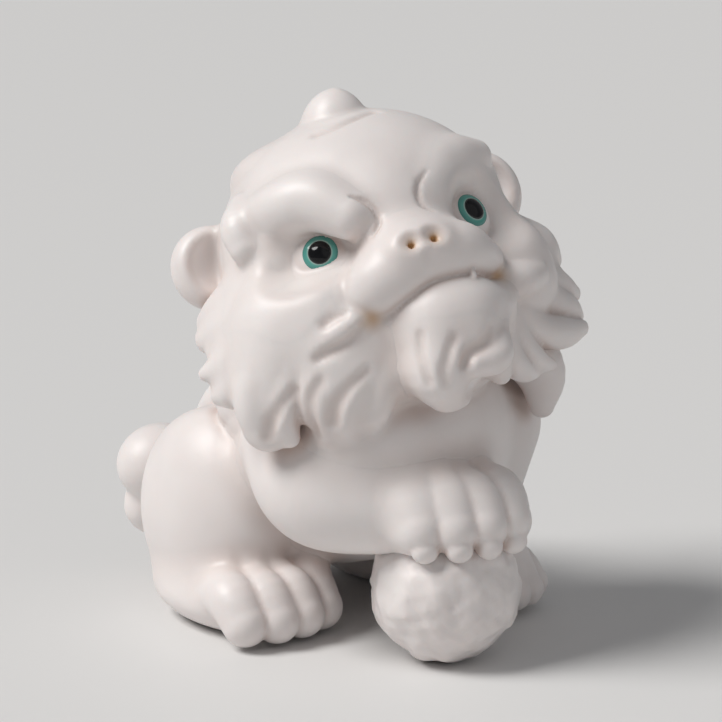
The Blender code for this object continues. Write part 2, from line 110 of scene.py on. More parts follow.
def lump(place, radii, spin=None):
    """An ellipsoid."""
    place = np.asarray(place, float)
    radii = np.broadcast_to(np.asarray(radii, float), 3)
    spin = np.eye(3) if spin is None else spin

    def field(points):
        local = (points - place) @ spin
        outer = np.sqrt(((local / radii) ** 2).sum(1))
        slope = np.sqrt(((local / radii ** 2) ** 2).sum(1)) + TINY
        return outer * (outer - 1) / slope

    reach = np.sqrt(((spin * radii) ** 2).sum(1))
    return Form(field, place - reach, place + reach)


def smooth_line(knots, steps):
    """A Catmull-Rom line through the knots."""
    knots = np.vstack([2 * knots[0] - knots[1], knots, 2 * knots[-1] - knots[-2]])
    line = []
    for a, b, c, d in zip(knots, knots[1:], knots[2:], knots[3:]):
        for t in np.linspace(0, 1, steps, endpoint=False):
            line.append(0.5 * (2 * b + (c - a) * t + (2 * a - 5 * b + 4 * c - d) * t ** 2
                               + (3 * b - a - 3 * c + d) * t ** 3))
    line.append(knots[-2])
    return np.array(line)


def lock(points, radii, flat=None, steps=5):
    """A tapered lock along a smooth line. flat = (direction, share) makes it thinner that way."""
    knots = np.column_stack([np.asarray(points, float), np.asarray(radii, float)])
    line = smooth_line(knots, steps) if len(knots) > 2 else knots
    centre, radius = line[:, :3], np.maximum(line[:, 3], LEAST_RADIUS)
    widen, share = np.eye(3), 1.0
    if flat is not None:
        way = np.asarray(flat[0], float) / np.linalg.norm(flat[0])
        share = flat[1]
        widen = np.eye(3) + (1 / share - 1) * np.outer(way, way)
    path = centre @ widen.T

    def field(points):
        local = points @ widen.T
        best = np.full(len(points), FAR)
        for i in range(len(path) - 1):
            along = path[i + 1] - path[i]
            rel = local - path[i]
            t = np.clip(rel @ along / max(along @ along, TINY), 0, 1)
            rel -= t[:, None] * along
            thick = radius[i] + (radius[i + 1] - radius[i]) * t
            best = np.minimum(best, np.sqrt((rel * rel).sum(1)) - thick)
        return best * share if share < 1 else best

    return Form(field, (centre - radius[:, None]).min(0), (centre + radius[:, None]).max(0))


def blend(a, b, k):
    """The lesser of two fields, with a fillet where they are within k of each other."""
    if k <= 0:
        return np.minimum(a, b)
    h = np.maximum(k - np.abs(a - b), 0) / k
    return np.minimum(a, b) - h * h * k * 0.25


def join(k, *forms):
    def field(points):
        value = forms[0](points)
        for form in forms[1:]:
            value = blend(value, form(points), k)
        return value

    return Form(field, np.min([f.low for f in forms], 0), np.max([f.high for f in forms], 0))


def carve(k, base, *tools):
    def field(points):
        value = base(points)
        for tool in tools:
            value = -blend(-value, tool(points), k)
        return value

    return Form(field, base.low, base.high)


def posed(form, spin, place):
    ends = np.array([[x, y, z] for x in (form.low[0], form.high[0]) for y in (form.low[1], form.high[1])
                     for z in (form.low[2], form.high[2])]) @ spin.T + place
    return Form(lambda points: form((points - place) @ spin), ends.min(0), ends.max(0))


def on_floor(form):
    return Form(lambda points: np.maximum(form(points), -points[:, 2]),
                np.maximum(form.low, [-FAR, -FAR, 0.0]), form.high)


def worn(form, height, scale):
    """Soft hollows and swellings of a hand-finished surface."""
    def field(points):
        swell = np.zeros(len(points))
        for octave, share in ((1.0, 0.6), (1.9, 0.3), (3.3, 0.16)):
            p = points @ turn(31 * octave, 17 * octave, 53 * octave).T * (scale * octave)
            swell += share * np.sin(p[:, 0] + np.sin(1.3 * p[:, 1])) * np.sin(p[:, 1] + np.sin(1.1 * p[:, 2]))
            swell += share * np.sin(p[:, 2] + np.sin(1.7 * p[:, 0]))
        return form(points) - height * (swell - 0.3)

    return Form(field, form.low - height, form.high + height)


# The head, in a frame of its own: L to the lion's left, F forward, U up

HEAD_PLACE = np.array([-2.78, 1.9, 60.4])
HEAD_SPIN = turn(-24, -13, -29)
DOME = np.array([22.4, 21.0, 19.8])
DOME_RISE = 0.6
EYE_RADIUS = 5.4
IRIS_RADIUS = 2.65
PUPIL_RADIUS = 1.75
EYE_APART = 10.5
EYE_FORWARD = 10.3
EYE_DROP = 2.9
EYE_SPLAY = 24.5
EYE_LOOK = 7
EYE_SWELL = 0.3
NOSE_LEFT = -1.0
NOSTRIL_APART = 1.9

# Each socket's shift outward and radii
SOCKETS = {-1: (1.4, (9.4, 6.0, 6.4)), 1: (0.9, (6.8, 6.0, 6.2))}
SOCKET_FORWARD = 8.2
SOCKET_DROP = 0.9

# Each brow's ridge from its outer to its inner end: (L, U), radius, height over the skull
BROW_RIDGES = {-1: [((19.6, 7.0), 2.4, 1.4), ((15.8, 6.6), 4.0, 2.7),
                    ((11.8, 5.4), 4.4, 3.1), ((8.0, 0.9), 3.5, 3.3)],
               1: [((18.2, 6.8), 2.8, 1.8), ((14.4, 7.4), 4.0, 1.0),
                   ((10.2, 6.4), 4.2, 0.4), ((6.0, 2.8), 3.6, 0.4)]}
# The two lobes outside it, as (L, U, lift) and radii, and how deep each side's are sunk
BROW_LOBES = ((((19.2, 9.2, -0.4), (20.2, 5.8, 0.6), (20.6, 2.8, 0.6)), (2.2, 3.0, 2.5)),
              (((19.6, -1.6, -2.0), (20.4, -2.4, -1.2), (21.0, -3.4, -0.8)), (2.4, 2.8, 2.4)))
LOBE_SINK = {-1: 0.0, 1: 3.2}


def at(left, forward, up):
    return np.array([left, -forward, up])


def in_figure(points):
    """Points of the head's frame, in the figure's."""
    return np.asarray(points) @ HEAD_SPIN.T + HEAD_PLACE


def on_dome(left, up, lift):
    """A point on the front of the skull, lift mm above it."""
    rest = 1 - (left / DOME[0]) ** 2 - ((up - DOME_RISE) / DOME[2]) ** 2
    base = np.array([left, -DOME[1] * math.sqrt(max(rest, 0.02)), up])
    out = (base - [0, 0, DOME_RISE]) / DOME ** 2
    return base + lift * out / np.linalg.norm(out)


def rolled(points, radii, flat=None, steps=5):
    """A lock through points given as (L, F, U)."""
    return lock([at(*point) for point in points], radii, flat, steps)


def locks(rows):
    return [rolled(points, radii) for points, radii in rows]


def eye_frame(side):
    """The middle of an eyeball and the way it looks."""
    place = at(side * EYE_APART, EYE_FORWARD, -EYE_DROP)
    splay, look = math.radians(EYE_SPLAY), math.radians(EYE_LOOK)
    way = at(side * math.sin(splay) * math.cos(look), math.cos(splay) * math.cos(look), math.sin(look))
    return place, way


def skull_form():
    dome = lump(at(-0.3, 0, DOME_RISE), DOME)
    right_cheek = lump(at(-14, 5, -11), (13.2, 12.5, 10.5))
    left_cheek = lump(at(13.0, 4, -11), (12.4, 11.0, 10.5))
    face = lump(at(NOSE_LEFT, 7.5, -9.5), (11, 11.5, 9.5))
    bridge = lump(at(NOSE_LEFT, 16.5, -2), (5.6, 5.2, 8))
    chin = lump(at(0, 6, -19), (17, 12, 9))
    skull = join(5, dome, right_cheek, left_cheek, face, bridge, chin)
    cheekbone = lump(at(17.8, 9.0, -9.4), (5.4, 5.4, 4.8))
    jowl = lump(at(24.2, 2.0, -9.4), (4.0, 4.2, 4.4))
    temple = lump(at(-10.6, -2, 15.0), (6, 6.5, 3.6))
    skull = join(2.0, skull, cheekbone, jowl, temple)
    sockets = []
    for side, (outward, radii) in SOCKETS.items():
        place, way = eye_frame(side)
        middle = place + way * SOCKET_FORWARD + at(side * outward, 0, -SOCKET_DROP)
        sockets.append(lump(middle, radii, turn(z=side * EYE_SPLAY)))
    return carve(2.6, skull, *sockets)


def eyeball_form(side):
    place, way = eye_frame(side)
    return lump(place - way * EYE_SWELL, EYE_RADIUS + EYE_SWELL)


def brow_form(side):
    """A pillow over the eye, with two lobes outside it."""
    ridge = BROW_RIDGES[side]
    middles = [on_dome(side * left, up, high - radius) for (left, up), radius, high in ridge]
    pillow = lock(middles, [radius for _, radius, _ in ridge], steps=16)
    lobes = []
    for line, radii in BROW_LOBES:
        middles = [on_dome(side * left, up, lift - LOBE_SINK[side]) for left, up, lift in line]
        lobes.append(lock(middles, radii))
    return join(1.5, pillow, *lobes)


def ear_form(side):
    spin = turn(z=side * 10)
    ear = lump(at(side * 23.3, -5.2, 3.8), (6.3, 3.6, 6.7), spin)
    dish = lump(at(side * 22.7, -1.5, 3.6), (4.6, 3.3, 4.9), spin)
    return carve(1.8, ear, dish)


def fang_form(side):
    return rolled([(side * 5.6, 22.4 + side, -12.6), (side * 5.6, 22.9 + 1.4 * side, -13.7)], [0.6, 0.3])


def muzzle_form():
    """Upper lip, snout and nose, with the groove under the nose and the nostrils."""
    lip = rolled([(-11.2, 16.6, -11.8), (-6.4, 20.0, -9.8), (-0.9, 21.2, -8.4), (5.2, 20.6, -8.8),
                  (10.6, 17.0, -10.4)], [2.9, 4.8, 5.0, 4.8, 2.9], steps=14)
    snout = lump(at(NOSE_LEFT, 17.5, -5.5), (7.2, 8, 5.2))
    nose = lump(at(NOSE_LEFT, 25.0, -7.0), (4.2, 2.0, 2.2))
    philtrum = rolled([(NOSE_LEFT, 27.6, -9.4), (NOSE_LEFT + 0.2, 27.0, -13.4)], [0.6, 1.1])
    pits, holes = [], []
    for side, _ in SIDES:
        left = NOSE_LEFT + side * NOSTRIL_APART
        pits.append(lump(at(left, 27.8, -6.4), (1.8, 1.7, 1.6)))
        holes.append(rolled([(left, 28.5, -6.6), (left - side * 0.1, 25.9, -7.1)], [0.6, 0.5]))
    return carve(0.3, carve(1.2, join(2.5, lip, snout, nose), philtrum, *pits), *holes)


def beard_form():
    """A tuft of two locks with a hollow at its tip, and three curls on it."""
    hollow = lump(at(3.2, 22.0, -28.8), (3.8, 4.8, 2.0), turn(y=-20))
    tuft = join(2.5, *locks([
        (((-1.4, 19.8, -17.6), (-2.2, 20.8, -21.5), (-3.2, 20.0, -25.2), (-2.6, 17.4, -28.2)),
         (4.2, 4.2, 4.2, 2.4)),
        (((2.6, 20.2, -17.8), (2.6, 20.8, -21.6), (1.8, 20.0, -25.2), (-0.2, 17.6, -28.2)),
         (4.4, 4.4, 3.8, 2.2))]))
    curls = locks([
        (((6.6, 18.8, -18.6), (6.6, 20.4, -22.2), (5.2, 22.0, -25.2), (1.4, 22.8, -25.6)),
         (1.4, 2.2, 2.7, 2.2)),
        (((-0.6, 23.2, -21.0), (-1.4, 23.8, -23.4), (-2.4, 22.8, -26.6)), (0.6, 1.3, 0.8)),
        (((-3.8, 21.8, -21.0), (-5.0, 22.2, -23.6), (-5.4, 20.8, -26.6)), (0.6, 1.5, 1.0))])
    return join(0.7, carve(1.2, tuft, hollow), *curls)


def right_ruff_form(whisker):
    """Two flat clumps on the near cheek, a fringe behind them and five locks on them."""
    out, front = at(-0.5, 0.85, -0.1), at(-0.25, 0.95, -0.1)
    side_mass = lump(at(-15, 7, -13.0), (10.5, 8.2, 7.0))
    outer = rolled([(-20.5, 9.6, -12.5), (-25.0, 9.2, -18.6), (-26.4, 8.0, -23.4)], [6.0, 5.6, 4.2],
                   (out, 0.72))
    inner = rolled([(-12.6, 13.4, -14.0), (-15.4, 12.9, -21.0), (-16.4, 11.4, -25.4)], [7.6, 7.4, 5.0],
                   (front, 0.66))
    clumps = join(1.2, side_mass, outer, inner)
    fringe = join(1.3, *locks([
        (((-21, 2, -5), (-25, 0, -5), (-27.0, -2, -5)), (3.6, 3.3, 2.2)),
        (((-21, 4, -8), (-26, 1.5, -7.8), (-28.6, -0.5, -7.4)), (4.2, 3.4, 2.0)),
        (((-20, 6, -11), (-25, 4, -11.2), (-28.2, 2, -10.8)), (4.2, 3.4, 1.8)),
        (((-21, 6.5, -12.6), (-27, 5, -13.6), (-31.8, 3.2, -13.0)), (3.4, 3.4, 1.1)),
        (((-22, 7, -14.8), (-27.8, 5.4, -16.6), (-30.6, 3.6, -16.8)), (3.2, 3.2, 1.7))]))
    ruff = join(0.6, clumps, fringe, *locks([
        (((-24.6, 10.6, -14.8), (-27.4, 9.6, -18.0), (-28.0, 8.4, -21.6), (-27.4, 7.0, -24.4)),
         (1.6, 2.6, 2.6, 1.8)),
        (((-20.6, 12.8, -16.6), (-23.6, 12.0, -20.2), (-25.0, 10.6, -23.4), (-24.4, 9.0, -26.4)),
         (1.4, 2.2, 2.3, 1.6)),
        (((-17.2, 15.0, -17.4), (-19.6, 14.2, -21.0), (-20.2, 12.6, -24.6), (-19.0, 10.8, -27.6)),
         (1.4, 2.2, 2.3, 1.6)),
        (((-11.6, 16.4, -18.4), (-14.8, 15.6, -22.4), (-17.0, 13.8, -25.8), (-16.6, 11.8, -28.6)),
         (1.4, 2.4, 2.5, 1.7)),
        (((-8.8, 16.0, -19.8), (-10.6, 15.4, -23.6), (-12.4, 13.8, -26.8), (-13.0, 12.0, -28.8)),
         (1.4, 2.2, 2.2, 1.4))]))
    return join(0.6, ruff, whisker)


def left_ruff_form(whisker):
    """Locks round the far cheek, which the photo shows from the front only."""
    ruff = join(0.4, lump(at(14.5, 7, -14), (9.5, 8.0, 7.5)), *locks([
        (((21, 2, -5), (25, 1.5, -7.5), (27.0, 0.5, -10.5)), (3.5, 3.0, 2.0)),
        (((20, 5, -14), (25, 3.5, -15.4), (28.4, 1.5, -16.8)), (3.6, 3.0, 1.6)),
        (((20, 6, -16.5), (24.5, 4.5, -19), (27.2, 2.5, -20.4)), (3.6, 3.0, 1.6)),
        (((13.5, 11.5, -17.5), (17.6, 9.6, -21.6), (22.4, 6.8, -22.9), (26.4, 4.8, -22.8)),
         (2.8, 2.7, 2.6, 1.5)),
        (((12.5, 11.5, -18), (13.6, 11.2, -22.6), (16.0, 9.2, -26.0), (19.2, 6.8, -27.2)),
         (2.8, 2.4, 2.0, 0.9)),
        (((10, 13, -18.5), (10.4, 12.6, -23.6), (12.8, 10.6, -26.9), (15.6, 8.2, -27.9)),
         (3.0, 2.6, 2.0, 0.9)),
        (((7.5, 14, -19), (8.2, 14.2, -24), (8.8, 12.4, -27)), (3.2, 2.6, 1.6))]))
    return join(0.6, ruff, whisker)


def nape_form():
    """Five locks down the back of the neck, and one behind the far cheek."""
    rows = []
    for left in (-20, -10, 0, 10, 20):
        back = math.sqrt(max(0.0, 1 - (left / 27) ** 2))
        line = ((left * 0.8, -14 * back, -2), (left * 1.05, -20 * back - 1, -14),
                (left * 1.1, -17 * back, -26))
        rows.append((line, (7.0, 6.2, 2.6)))
    rows.append((((18, -1, -20), (21, -3, -26.5), (20, -4.5, -31.5)), (5.0, 4.0, 2.0)))
    return join(2.0, *locks(rows))


def head_forms(right_whisker, left_whisker):
    forms = {"head": skull_form()}
    for side, name in SIDES:
        forms[name + "_eyeball"] = eyeball_form(side)
        forms[name + "_brow"] = brow_form(side)
        forms[name + "_ear"] = ear_form(side)
        forms[name + "_fang"] = fang_form(side)
    forms["crown_bud"] = rolled([(-0.8, 4.0, 15.0), (-0.3, 5.3, 18.2), (0.2, 6.4, 20.4)], [6.4, 5.1, 3.0],
                                steps=12)
    forms["muzzle"] = muzzle_form()
    forms["lower_jaw"] = rolled([(-2.2, 20.4, -16.8), (0.8, 21.2, -16.6), (5.2, 20.6, -17.0),
                                 (10.2, 17.0, -17.2)], [3.6, 4.2, 4.0, 2.8], steps=12)
    forms["beard"] = beard_form()
    forms["right_ruff"] = right_ruff_form(right_whisker)
    forms["left_ruff"] = left_ruff_form(left_whisker)
    forms["nape_mane"] = nape_form()
    return forms


# The body, in the figure's frame

TOES = 4


def paw(place, yaw, width, length, height, nails=False):
    """A broad foot whose toes point to -Y before it is turned; place is the floor under the toes."""
    spin = turn(z=yaw)
    place = np.asarray(place, float)

    def spot(x, y, z):
        return place + spin @ np.array([x, y, z])

    foot = lump(spot(0, length * 0.48, height * 0.46), (width * 0.47, length * 0.52, height * 0.5), spin)
    step = width / TOES
    thick = step * (0.82 if nails else 0.74)
    toes, tips = [], []
    for index in range(TOES):
        off = index - (TOES - 1) / 2
        back = 0.8 * off ** 2
        x = off * step * 0.94
        toes.append(lock([spot(x * 0.8, 10 + back, height * 0.6), spot(x * 0.97, 4 + back, height * 0.66),
                          spot(x, 0.4 + back, height * 0.38)], [thick * 0.9, thick * 1.06, thick * 0.95]))
        if nails:
            nail = (step * 0.43, 1.8, height * 0.17)
            tips.append(lump(spot(x * 1.02, -1.9 + back, height * 0.15), nail, spin))
    return join(0.2, join(1.2, foot, join(0.3, *toes)), *tips)


def trunk_form():
    chest = lump((0, -4.5, 29.5), (17.5, 14, 16.5))
    barrel = lump((0, 12.8, 23.5), (17.5, 21, 16))
    rump = lump((0, 26.2, 19.5), (18, 13, 16.5))
    neck = lock([(0, 0, 33.5), (-1.4, 1.9, 39.5), (-2.8, 1.9, 46.4)], [15.5, 14.5, 13.5], steps=14)
    spine = lock([(-4.4, 37.8, 23.9), (-5.6, 30.7, 30.6), (-6.8, 21.8, 36.4)], [3.2, 4.6, 5.0], steps=14)
    bib = lump((-10, -8, 34.5), (15.2, 12.4, 7.6))
    return join(0.8, join(4, join(7, chest, barrel, rump, neck), bib), spine)


def hind_leg_form(side):
    haunch = lump((side * 17.5, 21.5, 17), (9.5, 14.5, 16.5), turn(z=side * 4))
    foot = paw((side * 20, 1.0, 0), side * 6, 20.5, 31, 11)
    return on_floor(join(4, haunch, foot))


def raised_leg_form():
    """The leg whose paw lies on the ball, cut to the ball's round."""
    arm = lock([(-16, 2, 31), (-20, -6, 26), (-15, -15, 23.8), (-11, -20, 23.6)], [10, 9.0, 7.0, 6.0],
               steps=14)
    hand = paw((-10.4, -27.0, 17.6), -22, 20.0, 19, 11.4, nails=True)
    return carve(0.0, join(3, arm, hand), lump(BALL, BALL_RADIUS + 0.02))


def standing_leg_form():
    leg = lock([(16.8, -3, 31), (12.5, -8, 19.5), (14, -9, 10)], [10.8, 6.4, 5.4], steps=14)
    return on_floor(join(4, leg, paw((16.3, -14.2, 0), 8, 15.8, 17, 10.6)))


def tail_form():
    root = lock([(-2.7, 33.5, 14), (-8.0, 42.0, 16.5)], [5.9, 6.2])
    puff = lump((-9.4, 43.8, 19.6), (7.6, 6.6, 6.6))
    tip = lock([(-8.2, 43.5, 15.5), (-10.4, 45.4, 12.2), (-9.4, 44.6, 8.4)], [5.0, 4.3, 1.7])
    return join(1.0, join(2.5, root, puff), tip)


# The whole figure

# How softly each piece runs into the ones before it
TRUNK_SEAMS = {"body": 0, "right_hind_leg": 4.0, "left_hind_leg": 4.0, "right_foreleg": 5.0,
               "left_foreleg": 3.0, "tail": 1.4}
FACE_SEAMS = {"head": 0, "muzzle": 2.4, "crown_bud": 1.0, "right_ear": 2.0, "left_ear": 2.0,
              "right_brow": 2.0, "left_brow": 1.6, "right_eyeball": 0.25, "left_eyeball": 0.25,
              "right_fang": 0.2, "left_fang": 0.2}
MANE_SEAMS = {"head": 0, "right_ruff": 6.5, "left_ruff": 2.5, "nape_mane": 2.0, "lower_jaw": 3.5,
              "beard": 4.0}
WHISKER_SEAM = 0.8
CREASE = 0.5
NECK_SEAM = 1.2
FACE_LINE_EDGE = 0.3
MANE_LINE_EDGE = 1.4

# How far a piece's share of the skin runs under its neighbours, and how deep it dips there
OVERLAP = 0.6
DIP = 0.35
# How far it may stray from the piece's own form, and the room that this takes in its box
STRAY = 4.0
STRAY_ROOM = 3.0

right_whisker, left_whisker = locks([
    (((-10.4, 18.2, -13.8), (-13.9, 18.2, -14.8), (-18.4, 16.2, -16.8)), (1.4, 1.8, 0.8)),
    (((13.0, 15.8, -13.2), (15.8, 15.0, -14.6), (19.2, 13.0, -14.2)), (1.7, 2.5, 1.7))])
whiskers = posed(join(0, right_whisker, left_whisker), HEAD_SPIN, HEAD_PLACE)
parts = {"body": trunk_form(), "right_hind_leg": hind_leg_form(-1), "left_hind_leg": hind_leg_form(1),
         "right_foreleg": raised_leg_form(), "left_foreleg": standing_leg_form(), "tail": tail_form()}
for name, form in head_forms(right_whisker, left_whisker).items():
    parts[name] = posed(form, HEAD_SPIN, HEAD_PLACE)
names = list(parts)
ball_form = on_floor(worn(lump(BALL, BALL_RADIUS), 0.3, 0.7))


def united(seams, own):
    total = None
    for name, k in seams.items():
        value = own[names.index(name)]
        total = value if total is None else blend(total, value, k)
    return total


def modelled(points):
    """Every piece's own field, the trunk, and the head before its lines are scored."""
    own = np.array([parts[name](points) for name in names])
    trunk, face, mane = [united(seams, own) for seams in (TRUNK_SEAMS, FACE_SEAMS, MANE_SEAMS)]
    return own, trunk, blend(face, blend(mane, whiskers(points), WHISKER_SEAM), CREASE)


def unscored_head(points):
    return modelled(points)[2]


def scored(rows):
    """Lines laid on the head's skin, from rows of points near it as (L, F, U), and radii."""
    lines = []
    for points, radii in rows:
        spots = in_figure([at(*point) for point in points])
        for _ in range(8):
            slope = slope_of(unscored_head, spots, 0.1)[1]
            spots -= slope * (unscored_head(spots) / np.maximum((slope ** 2).sum(1), 0.2))[:, None]
        lines.append(lock(spots, radii))
    return join(0, *lines)


# The frown beside the nose
face_lines = scored([
    (((5.6, 21.2, 4.4), (3.6, 22.0, 2.8), (2.3, 22.3, 0.8), (2.2, 22.6, -1.2), (3.2, 22.6, -2.6)),
     (0.2, 0.4, 0.45, 0.4, 0.2)),
    (((-7.6, 22.2, 3.2), (-6.0, 22.5, 2.2), (-5.1, 22.6, 0.9), (-4.8, 22.6, -0.7), (-5.3, 22.6, -2.2),
      (-6.6, 22.3, -3.6)), (0.3, 0.6, 0.45, 0.4, 0.4, 0.25))])
# The beard, the foot of the crown bud, the near ruff and its whisker
mane_lines = scored([
    (((-5.0, 23.6, -19.6), (-6.0, 23.2, -22.3), (-6.2, 23.3, -23.8), (-5.8, 22.6, -26.4)),
     (0.12, 0.2, 0.25, 0.12)),
    (((-1.0, 25.4, -21.6), (-2.6, 25.0, -23.6), (-3.8, 24.3, -25.5), (-3.8, 23.4, -27.2)),
     (0.12, 0.22, 0.25, 0.12)),
    (((4.9, 24.7, -21.8), (3.4, 24.8, -23.5), (1.1, 24.8, -24.2), (-0.6, 24.6, -25.6)),
     (0.15, 0.45, 0.5, 0.25)),
    (((-6.4, 12.6, 15.4), (-2.2, 13.0, 15.2), (4.1, 11.0, 16.6)), (0.12, 0.12, 0.12)),
    (((-23.1, 14.1, -20.6), (-25.6, 13.2, -22.4), (-27.2, 11.1, -24.1), (-27.8, 10.0, -25.5)),
     (0.2, 0.5, 0.6, 0.6)),
    (((-19.5, 16.5, -20.8), (-21.1, 15.7, -22.3), (-21.9, 14.2, -24.8), (-21.0, 11.5, -26.9)),
     (0.2, 0.5, 0.6, 0.7)),
    (((-12.9, 18.3, -21.5), (-16.1, 17.8, -23.1), (-18.2, 16.4, -24.8), (-19.0, 14.9, -26.9)),
     (0.15, 0.45, 0.6, 0.6)),
    (((-16.5, 18.6, -13.6), (-15.3, 19.3, -13.3), (-13.8, 20.0, -13.1)), (0.3, 0.35, 0.15)),
    (((-18.9, 17.2, -17.6), (-17.6, 17.8, -17.2), (-15.0, 19.3, -16.8), (-11.9, 20.2, -15.4)),
     (0.3, 0.45, 0.4, 0.15))])


def figure(points):
    """Every piece's own field, and the field of the whole fired figure."""
    own, trunk, head = modelled(points)
    head = -blend(-head, face_lines(points), FACE_LINE_EDGE)
    head = -blend(-head, mane_lines(points), MANE_LINE_EDGE)
    return own, blend(trunk, head, NECK_SEAM)


def whole_figure(points):
    return figure(points)[1]


def piece_form(name):
    """The share of the figure's skin that belongs to one piece, closed behind."""
    index = names.index(name)

    def field(points):
        own, whole = figure(points)
        mine = own[index].copy()
        own[index] = FAR
        beyond = (mine - own.min(0)) / 2
        sunk = whole + DIP * (np.maximum(beyond, 0) / OVERLAP) ** 2
        return np.maximum(np.maximum(sunk, beyond - OVERLAP), mine - STRAY)

    return Form(field, parts[name].low - STRAY_ROOM, parts[name].high + STRAY_ROOM)


# Meshes

# Points along the side of a coarse block, and how many points are worked out at a time
BLOCK = 5
SKIN_BATCH = 150000
MARK_BATCH = 60000
HOLLOW_REACH = 1.6
# Painted amber glow at the nostrils and the corners of the mouth, standing in for light shining through the
# thin porcelain there, with their radii
PAINTED_GLOW_SPOTS = [((-2.7, 25.4, -7.0), 1.1), ((0.8, 25.6, -7.0), 1.1), ((-10.2, 19.4, -14.4), 1.5),
          ((11.3, 17.0, -13.6), 1.5)]


def skin(form, step):
    """A quad mesh of the form's surface: coarse blocks first, then every point of those near the surface."""
    low, high = form.low - 1.0, form.high + 1.0
    block = step * BLOCK
    count = np.ceil((high - low) / block).astype(int)
    axes = [low[i] + block * (np.arange(count[i]) + 0.5) - step * 0.5 for i in range(3)]
    coarse = np.stack(np.meshgrid(*axes, indexing="ij"), -1).reshape(-1, 3)
    rough = form.field(coarse)
    far = 2 * block
    grid = np.where(rough > 0, far, -far).reshape(count).astype(np.float32)
    grid = grid.repeat(BLOCK, 0).repeat(BLOCK, 1).repeat(BLOCK, 2)
    near = np.argwhere((np.abs(rough) < block * 0.95 + 0.4).reshape(count))
    inner = np.stack(np.meshgrid(*[np.arange(BLOCK)] * 3, indexing="ij"), -1).reshape(-1, 3)
    cells = (near[:, None] * BLOCK + inner).reshape(-1, 3)
    for start in range(0, len(cells), SKIN_BATCH):
        some = cells[start:start + SKIN_BATCH]
        grid[some[:, 0], some[:, 1], some[:, 2]] = form.field(low + step * some)
    volume = openvdb.FloatGrid(far)
    volume.copyFromArray(grid)
    verts, quads = volume.convertToQuads(isovalue=0.0)
    verts = verts * step + low
    for _ in range(2):
        level, slope = slope_of(form.field, verts, 0.05)
        move = (level / np.maximum((slope ** 2).sum(1), 0.05))[:, None] * slope
        size = np.linalg.norm(move, axis=1, keepdims=True)
        verts -= move * np.minimum(1, 0.8 * step / np.maximum(size, TINY))
    return verts, quads[:, ::-1]


def link(name, verts, faces, material, marks):
    mesh = bpy.data.meshes.new(name)
    mesh.from_pydata(((verts + SHIFT) * MM).tolist(), [], [tuple(face) for face in faces])
    mesh.update()
    mesh.shade_smooth()
    mesh.materials.append(material)
    for key, values in marks.items():
        mesh.attributes.new(key, "FLOAT", "POINT").data.foreach_set("value", np.asarray(values, np.float32))
    piece = bpy.data.objects.new(name, mesh)
    bpy.context.scene.collection.objects.link(piece)
    return piece


def marks_of(verts):
    """How far each point lies in a hollow of the figure, which sets the warm painted shade there, and how
    strong the painted amber glow is at it.
    """
    hollow, painted_glow = np.zeros(len(verts)), np.zeros(len(verts))
    for start in range(0, len(verts), MARK_BATCH):
        some = verts[start:start + MARK_BATCH]
        slope = slope_of(whole_figure, some, 0.1)[1]
        slope /= np.linalg.norm(slope, axis=1, keepdims=True) + TINY
        # Painted shade measure: how near the figure's own surface lies in front of each point
        clear = whole_figure(some + HOLLOW_REACH * slope)
        hollow[start:start + MARK_BATCH] = np.clip((HOLLOW_REACH - clear) / HOLLOW_REACH, 0, 1)
    # Painted glow: an amber light that fades off round each spot
    for place, size in PAINTED_GLOW_SPOTS:
        far = np.linalg.norm(verts - in_figure(at(*place)), axis=1)
        painted_glow = np.maximum(painted_glow, np.exp(-(far / size) ** 2))
    return {"hollow": hollow, "painted_glow": painted_glow}


def fit(piece, node):
    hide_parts(node)
    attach(piece, "root")


# Materials

def new_material(name):
    material = bpy.data.materials.new(name)
    material.use_nodes = True
    nodes, links = material.node_tree.nodes, material.node_tree.links
    return material, nodes, links, nodes["Principled BSDF"]


def noise(nodes, links, scale, detail):
    place = nodes.new("ShaderNodeTexCoord")
    cloud = nodes.new("ShaderNodeTexNoise")
    cloud.inputs["Scale"].default_value = scale
    cloud.inputs["Detail"].default_value = detail
    links.new(place.outputs["Object"], cloud.inputs["Vector"])
    return cloud.outputs["Fac"]


def ramp(nodes, links, value, stops):
    node = nodes.new("ShaderNodeValToRGB")
    steps = node.color_ramp.elements
    while len(steps) < len(stops):
        steps.new(0.5)
    for step, (position, colour) in zip(steps, stops):
        step.position, step.color = position, (*colour, 1)
    links.new(value, node.inputs["Fac"])
    return node.outputs["Color"]


def spread(nodes, links, value, low, high):
    node = nodes.new("ShaderNodeMapRange")
    node.inputs["To Min"].default_value = low
    node.inputs["To Max"].default_value = high
    links.new(value, node.inputs["Value"])
    return node.outputs["Result"]


def mark(nodes, name):
    node = nodes.new("ShaderNodeAttribute")
    node.attribute_name = name
    return node.outputs["Fac"]


def tinted(nodes, links, base, colour, share):
    node = nodes.new("ShaderNodeMix")
    node.data_type = "RGBA"
    links.new(share, node.inputs["Factor"])
    links.new(base, node.inputs["A"])
    node.inputs["B"].default_value = (*colour, 1)
    return node.outputs["Result"]


